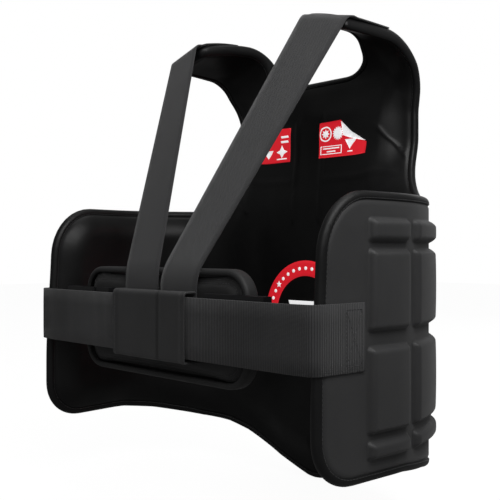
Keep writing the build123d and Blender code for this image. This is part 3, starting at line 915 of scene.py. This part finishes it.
# ---- belt sleeve
def build_sleeve(material):
    """A flat tube of the pad's leather that the elastics run through, with a seam up it."""
    thick = 1.5
    outer_y = SLEEVE_HIGH[1] - thick / 2
    low_z, high_z = SLEEVE_LOW[2] + thick / 2, SLEEVE_HIGH[2] - thick / 2
    section = bend_path(
        [
            (0, SLEEVE_LOW[1] + thick / 2, low_z),
            (0, outer_y, low_z),
            (0, outer_y, high_z),
            (0, PAD_HIGH[1] + 4.0, high_z),
        ],
        [3.0, 3.5],
        1.8,
    )
    along = unit(np.gradient(section, axis=0))
    out = np.cross(along, np.array([1.0, 0.0, 0.0]))
    half = SLEEVE_HIGH[0]
    marks = [-half, -half + 0.6, -half + 1.6, half - 1.6, half - 0.6, half]
    marks += [SEAM_X + off for off in (-2.6, -1.3, -0.6, 0.0, 0.6, 1.3, 2.6)]
    marks += [-half + 7.0, -half + 8.0, half - 8.0, half - 7.0]
    stations = spaced(marks, -half, half, 4.0)
    verts, uv = [], []
    run = distance_along(section)
    for shell in (1, -1):
        for x in stations:
            seam = 1.0 * math.exp(-(((x - SEAM_X) / 1.1) ** 2))
            hem = 0.45 * float(smooth(abs(x), half - 8.0, half - 7.0))
            tuck = 0.5 * float(smooth(abs(x), half - 1.6, half))
            for c, o, r in zip(section, out, run):
                bulge = 0.5 * math.sin(math.pi * r / run[-1]) * (1 - (x / half) ** 2)
                sunk = hem - seam - tuck if shell > 0 else tuck
                height = shell * thick / 2 + (sunk + bulge)
                verts.append(c + o * height + np.array([x, 0, 0]))
                uv.append((x - SEAM_X, r))
    rows, cols = len(stations), len(section)
    faces = grid_faces(rows, cols)
    base = rows * cols
    faces += [tuple(base + i for i in reversed(f)) for f in grid_faces(rows, cols)]
    rim = [i * cols for i in range(rows)] + [(rows - 1) * cols + j for j in range(1, cols)]
    rim += [i * cols + cols - 1 for i in range(rows - 2, -1, -1)] + [j for j in range(cols - 2, 0, -1)]
    for a, b in zip(rim, rim[1:] + rim[:1]):
        faces.append((a, a + base, b + base, b))
    return make_mesh("belt_sleeve_leather", verts, faces, material, uv)


def build_sleeve_stitching(material):
    parts = []
    y = SLEEVE_HIGH[1] + 1.0
    for x in (-SLEEVE_HIGH[0] + 5.0, SLEEVE_HIGH[0] - 5.0):
        path = [(x, y, z) for z in np.linspace(SLEEVE_LOW[2] + 5, SLEEVE_HIGH[2] - 5, 20)]
        parts.append(stitch_path(path, (0.0, 1.0, 0.0)))
    return make_mesh("belt_sleeve_stitching", *merge(parts), material)


# ---- printed marks on the lining
RING_R, RING_WIDTH = 72.0, 20.0
LABEL_START = {"right": 17.0, "left": 34.0}  # from the middle of the chest
LABEL_WIDTH = 68.0
SHEET, MARK, FLAP = 0.5, 0.8, 1.4  # lift of a print, of marks on it and of a folded corner
SUNK = -0.6  # a film's edge ends below the lining


def on_lining(points, lift):
    """3-D points of a film that follows the lining, lift above it, from (x, z) points."""
    points = np.asarray(points, float)
    s = np.array([s_of_x(abs(x)) for x in points[:, 0]])
    z = points[:, 1]
    verts = at(s, z, lining_depth(s, z) + lift)
    verts[:, 0] *= np.where(points[:, 0] < 0, -1, 1)
    return verts


def film(outline, lift=MARK, pitch=4.0):
    """A thin film with the given (x, z) outline, laid on the lining."""
    loop = []
    for a, b in zip(outline, [*outline[1:], outline[0]]):
        a, b = np.array(a, float), np.array(b, float)
        count = max(1, math.ceil(np.linalg.norm(b - a) / pitch))
        loop += [a + (b - a) * k / count for k in range(count)]
    loop = np.array(loop)
    low, high = loop.min(0), loop.max(0)
    across = np.arange(low[0] + pitch / 2, high[0], pitch)
    up = np.arange(low[1] + pitch / 2, high[1], pitch)
    grid = np.array([(x, z) for x in across for z in up]).reshape(-1, 2)
    flat = np.vstack([loop, grid[inside_loop(grid, loop)]])
    count = len(loop)
    edges = [(j, (j + 1) % count) for j in range(count)]
    flat, filled = triangles(flat, edges, list(range(count)))
    verts = np.vstack([on_lining(flat, lift), on_lining(loop, SUNK)])
    first = len(flat)
    faces = [tuple(reversed(f)) for f in filled]
    faces += [(a, b, first + b, first + a) for a, b in edges]
    return list(verts), faces


def circle(cx, cz, radius, count):
    turns = [2 * math.pi * k / count for k in range(count)]
    return [(cx + radius * math.cos(a), cz + radius * math.sin(a)) for a in turns]


def hoop(cx, cz, outer, inner, lift=MARK, count=48):
    """A flat ring laid on the lining."""
    steps = max(1, math.ceil((outer - inner) / 4.0))
    rows = [(outer, SUNK)] + [(outer + (inner - outer) * k / steps, lift) for k in range(steps + 1)]
    rows.append((inner, SUNK))
    verts = np.vstack([on_lining(circle(cx, cz, r, count), rise) for r, rise in rows])
    return list(verts), grid_faces(len(rows), count, close_cols=True)


def bar(cx, cz, width, height, lean=0.0):
    half_w, half_h = width / 2, height / 2
    corners = ((-half_w, -half_h), (half_w, -half_h), (half_w, half_h), (-half_w, half_h))
    return film([(cx + a + lean * b, cz + b) for a, b in corners])


def star(cx, cz, outer, inner, count):
    points = []
    for k in range(count * 2):
        radius = outer if k % 2 == 0 else inner
        turn = math.pi * k / count + math.pi / 2
        points.append((cx + radius * math.cos(turn), cz + radius * math.sin(turn)))
    return film(points)


def triangle(cx, cz, size):
    return film([(cx - size, cz + size), (cx + size, cz + size), (cx, cz - size)])


# Shape, place on the label and sizes of each generic mark.
LABEL_MARKS = {
    "right": (
        (hoop, 11, 442, 9.6, 8.0),
        (star, 11, 442, 6.2, 3.4, 8),
        (star, 31, 441.5, 8.8, 6.4, 16),
        (bar, 20, 425, 34, 1.1),
        (bar, 20, 413, 34, 1.1),
        (bar, 3.5, 419, 1.1, 13),
        (bar, 36.5, 419, 1.1, 13),
        (bar, 20, 421.4, 26, 1.8),
        (bar, 20, 416.6, 14, 1.8),
        (triangle, 50, 425, 7.5),
        (bar, 50, 414, 7, 1.6),
    ),
    "left": (
        (bar, 10, 446, 13, 2.8, 0.4),
        (bar, 10, 439.5, 13, 2.8, 0.4),
        (star, 15, 425, 10.0, 5.0, 4),
        (bar, 15, 413.5, 18, 1.8),
        (triangle, 38, 422, 7.0),
        (hoop, 56, 420, 7.0, 5.6),
    ),
}


def build_label(side_name, side, red, white):
    """A printed sheet with round seals or bars on it and its upper outer corner folded over."""

    def place(x):
        return side * (LABEL_START[side_name] + x)

    outline = [(0, 408), (LABEL_WIDTH, 408), (LABEL_WIDTH, 426), (34, 458), (0, 457)]
    sheet = film([(place(x), z) for x, z in outline], SHEET)
    marks = [draw(place(x), z, *sizes) for draw, x, z, *sizes in LABEL_MARKS[side_name]]
    folded = [(40, 438), (LABEL_WIDTH - 1, 428), (36, 456)]
    marks.append(film([(place(x), z) for x, z in folded], FLAP))
    return (make_mesh(f"{side_name}_label_sheet", *merge([sheet]), red),
            make_mesh(f"{side_name}_label_marks", *merge(marks), white))


def build_ring(red, white):
    """The round print: a red ring, with dots and stars in place of words, and plain bars inside."""
    cz = cad("ring_print")[0][2] + RING_R
    band = hoop(0.0, cz, RING_R, RING_R - RING_WIDTH, SHEET, 96)
    marks = []
    for k, (x, z) in enumerate(circle(0.0, cz, RING_R - RING_WIDTH / 2, 36)):
        marks.append(star(x, z, 4.6, 2.1, 5) if k % 9 == 4 else film(circle(x, z, 2.3, 12)))
    for level, width in ((16.0, 58.0), (4.0, 66.0), (-8.0, 58.0)):
        marks.append(bar(0.0, cz + level, width, 7.0, 0.35))
    return (make_mesh("ring_print_red", *merge([band]), red),
            make_mesh("ring_print_white", *merge(marks), white))


# ---- materials
class Look:
    """A material and the steps that build its node tree."""

    def __init__(self, name):
        self.material = bpy.data.materials.new(name)
        self.material.use_nodes = True
        self.tree = self.material.node_tree
        self.tree.nodes.clear()
        out = self.tree.nodes.new("ShaderNodeOutputMaterial")
        self.shader = self.tree.nodes.new("ShaderNodeBsdfPrincipled")
        self.tree.links.new(self.shader.outputs["BSDF"], out.inputs["Surface"])

    def fill(self, target, value):
        """Gives a socket a number, a colour, or a link from another node's output."""
        if isinstance(value, bpy.types.NodeSocket):
            self.tree.links.new(value, target)
        else:
            target.default_value = value

    def add(self, kind, **values):
        """A node with its settings and inputs filled in."""
        made = self.tree.nodes.new(kind)
        for key, value in values.items():
            if hasattr(made, key):
                setattr(made, key, value)
            else:
                self.fill(made.inputs[key.replace("_", " ")], value)
        return made

    def shade(self, **values):
        """Inputs of the surface shader."""
        for key, value in values.items():
            self.fill(self.shader.inputs[key.replace("_", " ")], value)

    def coords(self, kind="Object", scale=(1, 1, 1), turn=0.0):
        source = self.add("ShaderNodeTexCoord").outputs[kind]
        return self.add("ShaderNodeMapping", Vector=source, Scale=scale, Rotation=(0, 0, turn)).outputs[0]

    def noise(self, place, scale, detail, **more):
        return self.add("ShaderNodeTexNoise", Vector=place, Scale=scale, Detail=detail, **more).outputs["Fac"]

    def wave(self, place, direction, **more):
        more.update(wave_type="BANDS", bands_direction=direction)
        made = self.add("ShaderNodeTexWave", Vector=place, **more)
        return made.outputs["Fac"]

    def cells(self, place, scale, feature="F1"):
        made = self.add("ShaderNodeTexVoronoi", Vector=place, Scale=scale, feature=feature)
        return made.outputs["Distance"]

    def math(self, operation, *values):
        made = self.add("ShaderNodeMath", operation=operation)
        for socket, value in zip(made.inputs, values):
            self.fill(socket, value)
        return made.outputs[0]

    def ramp(self, source, *stops):
        """Colour ramp from (place, grey or colour) stops."""
        made = self.add("ShaderNodeValToRGB", Fac=source)
        bands = made.color_ramp.elements
        for band, (place, colour) in zip(bands, stops):
            band.position = place
            colour = (colour,) * 3 if isinstance(colour, (int, float)) else colour
            band.color = (*colour, 1.0)
        return made.outputs["Color"]

    def mix(self, kind, amount, colour, other):
        """The colour, with the plain colour other mixed in by amount."""
        made = self.add("ShaderNodeMixRGB", blend_type=kind, Fac=amount, Color1=colour, Color2=(*other, 1.0))
        return made.outputs["Color"]

    def bump(self, height, strength, distance):
        made = self.add("ShaderNodeBump", Strength=strength, Distance=distance, Height=height)
        self.shade(Normal=made.outputs["Normal"])


def leather(name, dark, light, roughness, grain, grain_depth=0.3, sheen=0.15, shine=0.45, seam=0.0):
    """Grained synthetic leather: cell grain, soft mottling, rubbed lighter on raised edges.

    A seam is a dark closed line of that half width, where the piece's own UVs are zero across.
    """
    look = Look(name)
    place = look.coords()
    wear = look.add("ShaderNodeNewGeometry").outputs["Pointiness"]
    rubbed = look.math("MULTIPLY", look.ramp(wear, (0.48, 0.0), (0.56, 1.0)), 0.6)
    colour = look.ramp(look.noise(place, 14.0, 5.0, Roughness=0.6), (0.3, dark), (0.75, light))
    colour = look.mix("ADD", rubbed, colour, [c * 0.35 for c in light])
    if seam:
        along = look.add("ShaderNodeSeparateXYZ", Vector=look.coords("UV")).outputs["X"]
        closed = look.ramp(look.math("ABSOLUTE", along), (seam * MM, 1.0), (seam * 1.6 * MM, 0.0))
        colour = look.mix("MIX", closed, colour, (0.002, 0.002, 0.002))
    pores = look.ramp(look.cells(place, grain, "DISTANCE_TO_EDGE"), (0.0, 0.0), (0.28, 1.0))
    fine = look.math("MULTIPLY", look.noise(place, grain * 2.2, 3.0), 0.5)
    look.bump(look.math("ADD", pores, fine), grain_depth, 0.00025)
    smear = look.noise(place, 38.0, 4.0)
    rough = look.ramp(smear, (0.3, roughness - 0.06), (0.7, roughness + 0.07))
    look.shade(Base_Color=colour, Roughness=rough, Specular_IOR_Level=shine)
    look.shade(Sheen_Weight=sheen, Sheen_Roughness=0.5)
    return look.material


def woven(name, dark, light, rib_pitch, cross_pitch, turn=0.0):
    """Webbing or elastic: cords along one way crossed by fine picks, from the strap's own UVs."""
    look = Look(name)
    lengthways = look.coords("UV", turn=turn)
    rib_scale, pick_scale = (1.0 / (pitch * MM) / 6.2832 * 2.0 for pitch in (rib_pitch, cross_pitch))
    cords = look.wave(lengthways, "X", Scale=rib_scale, Distortion=0.6, Detail=2.0, Detail_Scale=2.0)
    picks = look.wave(lengthways, "Y", Scale=pick_scale, Distortion=0.8)
    height = look.math("ADD", cords, look.math("MULTIPLY", picks, 0.5))
    fuzz = look.noise(look.coords(), 2600.0, 3.0)
    look.bump(look.math("ADD", height, look.math("MULTIPLY", fuzz, 0.35)), 0.6, 0.0004)
    mottle = look.noise(look.coords(scale=(1, 1, 0.25)), 60.0, 4.0)
    tone = look.math("ADD", look.math("MULTIPLY", cords, 0.55), look.math("MULTIPLY", mottle, 0.6))
    look.shade(Base_Color=look.ramp(tone, (0.25, dark), (0.9, light)), Roughness=0.85)
    look.shade(Sheen_Weight=0.4, Sheen_Roughness=0.4)
    return look.material


def moulded_plastic(name, colour):
    """Black acetal with a fine spark-eroded texture."""
    look = Look(name)
    place = look.coords()
    look.bump(look.noise(place, 2200.0, 2.0), 0.25, 0.0001)
    flow = look.noise(place, 45.0, 4.0)
    look.shade(Base_Color=look.ramp(flow, (0.3, colour), (0.8, tuple(c * 1.5 for c in colour))))
    look.shade(Roughness=look.ramp(flow, (0.3, 0.34), (0.7, 0.46)))
    return look.material


def foam_material(name):
    look = Look(name)
    cells = look.cells(look.coords(), 700.0)
    look.bump(cells, 0.5, 0.0006)
    look.shade(Base_Color=look.ramp(cells, (0.0, 0.035), (0.6, 0.06)), Roughness=0.95)
    return look.material


def glowing_print_film(name, colour, darker):
    """Heat-pressed print: a thin satin film with slight mottling, made to glow with an emission of its own
    colour, which is painted light that keeps it bright in the shade.
    """
    look = Look(name)
    place = look.coords()
    look.shade(Base_Color=look.ramp(look.noise(place, 120.0, 5.0), (0.25, darker), (0.7, colour)))
    look.bump(look.noise(place, 1500.0, 2.0), 0.2, 0.0001)
    # painted light: the print glows with its own colour at strength 0.75, as if lit, though it is no lamp
    look.shade(Roughness=0.42, Emission_Color=(*colour, 1.0), Emission_Strength=0.75)
    return look.material


def thread_material(name, colour):
    look = Look(name)
    twist = look.wave(look.coords(), "DIAGONAL", Scale=900.0)
    look.bump(twist, 0.4, 0.0002)
    look.shade(Base_Color=look.ramp(twist, (0.0, tuple(c * 0.7 for c in colour)), (1.0, colour)))
    look.shade(Roughness=0.6, Sheen_Weight=0.3)
    return look.material


COVER = leather("cover_leather", (0.026, 0.026, 0.027), (0.035, 0.035, 0.036), 0.5, 950.0)
PAD = leather(
    "pad_leather", (0.0235, 0.0235, 0.024), (0.034, 0.034, 0.0345), 0.5, 800.0, sheen=0.05, shine=0.3
)
SLEEVE = leather("sleeve_leather", (0.026, 0.026, 0.027), (0.037, 0.037, 0.038), 0.5, 800.0, seam=1.1)
LINING = leather("lining_film", (0.0062, 0.0062, 0.0064), (0.0108, 0.0108, 0.011), 0.38, 500.0,
                 grain_depth=0.08, sheen=0.0, shine=0.26)
BINDING = leather("binding_leather", (0.0075, 0.0075, 0.0078), (0.013, 0.013, 0.0133), 0.36, 1100.0,
                  grain_depth=0.2, sheen=0.0, shine=0.28)
WEBBING = woven("strap_webbing", (0.034, 0.034, 0.036), (0.055, 0.055, 0.057), 1.1, 1.6, turn=0.7)
ELASTIC = woven("ribbed_elastic", (0.028, 0.028, 0.029), (0.054, 0.054, 0.056), 2.3, 1.1)
PLASTIC = moulded_plastic("buckle_plastic", (0.008, 0.008, 0.009))
FOAM = foam_material("foam")
RED = glowing_print_film("red_print_self_lit", (0.62, 0.012, 0.022), (0.5, 0.008, 0.016))
WHITE = glowing_print_film("white_print_self_lit", (0.85, 0.85, 0.86), (0.74, 0.74, 0.76))
THREAD = thread_material("thread", (0.03, 0.03, 0.032))


# ---- the object
def finish_piece(replaced):
    if replaced:
        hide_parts(*replaced)


def bend_at_groove(pieces, slot, *replaced):
    """Both halves of a layer of the vest: each has its transform baked into its mesh, and the CAD parts it
    replaces are hidden.
    """
    for side, obj in pieces.items():
        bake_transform(obj)
        finish_piece([name.format(side=side) for name in replaced])


def ride(body, obj, slot, *replaced):
    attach(obj, body)
    finish_piece(replaced)


bend_at_groove(build_cover(COVER), "cover_leather", "chest_cover", "chest_foam", "front_blocks",
               "{side}_corner_blocks", "{side}_wing_blocks", "{side}_wing_cover", "{side}_wing_foam")
bend_at_groove(build_lining(LINING), "lining", "chest_lining", "{side}_wing_lining")
bend_at_groove(build_binding(BINDING), "binding", "chest_binding", "{side}_wing_binding")
bend_at_groove(build_edge_stitching(THREAD), "thread")

straps = build_straps(WEBBING)
strap_stitching = build_strap_stitching(THREAD)
bands = build_bands(ELASTIC)
band_stitching = build_band_stitching(THREAD)
for side, sign in (("left", 1), ("right", -1)):
    ride("chest", straps[side], "strap_webbing", f"{side}_shoulder_strap")
    ride("chest", strap_stitching[side], "thread", f"{side}_strap_stitching")
    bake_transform(bands[side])
    finish_piece((f"{side}_waist_elastic", f"{side}_elastic_anchor"))
    ride(f"{side}_wing", band_stitching[side], "thread", f"{side}_anchor_stitching")
    label_sheet, label_marks = build_label(side, sign, RED, WHITE)
    ride("chest", label_sheet, "label", f"{side}_inner_label")
    ride("chest", label_marks, "label")

pad = build_pad(PAD)
ride("chest", pad, "pad_leather", "back_pad_cover", "back_pad_backing", "back_pad_foam")
ride("chest", build_pad_stitching(pad, THREAD), "thread")
ride("chest", build_pad_binding(PAD), "binding", "back_pad_binding")
ride("chest", build_sleeve(SLEEVE), "pad_leather", "belt_sleeve")
ride("chest", build_sleeve_stitching(THREAD), "thread")
ring, ring_marks = build_ring(RED, WHITE)
ride("chest", ring, "ring", "ring_print")
ride("chest", ring_marks, "ring")

for name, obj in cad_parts.items():
    look = FOAM
    if "buckle" in name or "prong" in name:
        look = PLASTIC
        bevel = obj.modifiers.new("soft_edges", "BEVEL")
        bevel.width = 0.6 * MM
        bevel.segments = 2
        bevel.limit_method = "ANGLE"
    elif "webbing" in name:
        look = WEBBING
    obj.data.materials.clear()
    obj.data.materials.append(look)


# ---- camera, light and floor
def put(name, data):
    obj = bpy.data.objects.new(name, data)
    bpy.context.scene.collection.objects.link(obj)
    return obj


def look_along(obj, direction):
    obj.rotation_mode = "QUATERNION"
    obj.rotation_quaternion = Vector(direction).to_track_quat("-Z", "Y")


camera = put("camera", bpy.data.cameras.new("camera"))
camera.data.lens = 57.6
camera.data.sensor_width = 36.0
camera.data.shift_y = 0.0024
camera.location = (-0.693, 0.669, 0.293)
look_along(camera, (0.7179, -0.6962, 0.0))
bpy.context.scene.camera = camera

AIM = (0.0, 0.0, 0.28)
for name, place, size, power in (
    ("key", (-0.9, 0.8, 1.2), 0.8, 4.8),
    ("side", (-0.7, 0.1, 0.95), 0.5, 3.4),
    ("fill", (-0.9, 2.0, 1.0), 1.4, 1.2),
    ("top", (0.0, -0.2, 2.4), 1.6, 7.5),
    ("front", (0.9, -2.2, 1.4), 1.6, 3.5),
):
    light = put(name, bpy.data.lights.new(name, "AREA"))
    light.data.shape = "SQUARE"
    light.data.size = size
    light.data.energy = power
    light.location = place
    look_along(light, Vector(AIM) - Vector(place))

FLOOR = 6.0  # half width of the floor in metres
FLOOR_GAP = 0.0055  # it lies just below the lowest point of the apron
floor = put("floor", bpy.data.meshes.new("floor"))
corners = [(-FLOOR, -FLOOR, 0), (FLOOR, -FLOOR, 0), (FLOOR, FLOOR, 0), (-FLOOR, FLOOR, 0)]
floor.data.from_pydata(corners, [], [(0, 1, 2, 3)])
floor.location.z = float(cad_low[2]) - FLOOR_GAP
pale = Look("pale_floor")
pale.shade(Base_Color=(0.12, 0.12, 0.12, 1.0), Roughness=0.9, Emission_Color=(1.0, 1.0, 1.0, 1.0))
floor.data.materials.append(pale.material)


def glow(tree, socket, seen_by_camera, seen_by_object):
    """Sets a strength that differs between the camera's own view and the light on the object."""
    path = tree.nodes.new("ShaderNodeLightPath")
    strength = tree.nodes.new("ShaderNodeMapRange")
    strength.inputs["To Min"].default_value = seen_by_object
    strength.inputs["To Max"].default_value = seen_by_camera
    tree.links.new(path.outputs["Is Camera Ray"], strength.inputs["Value"])
    tree.links.new(strength.outputs["Result"], socket)


glow(pale.tree, pale.shader.inputs["Emission Strength"], 0.95, 0.05)
world = bpy.data.worlds.new("world")
bpy.context.scene.world = world
world.use_nodes = True
background = world.node_tree.nodes["Background"]
background.inputs["Color"].default_value = (1.0, 1.0, 1.0, 1.0)
glow(world.node_tree, background.inputs["Strength"], 1.0, 0.14)
bpy.context.scene.view_settings.view_transform = "Standard"
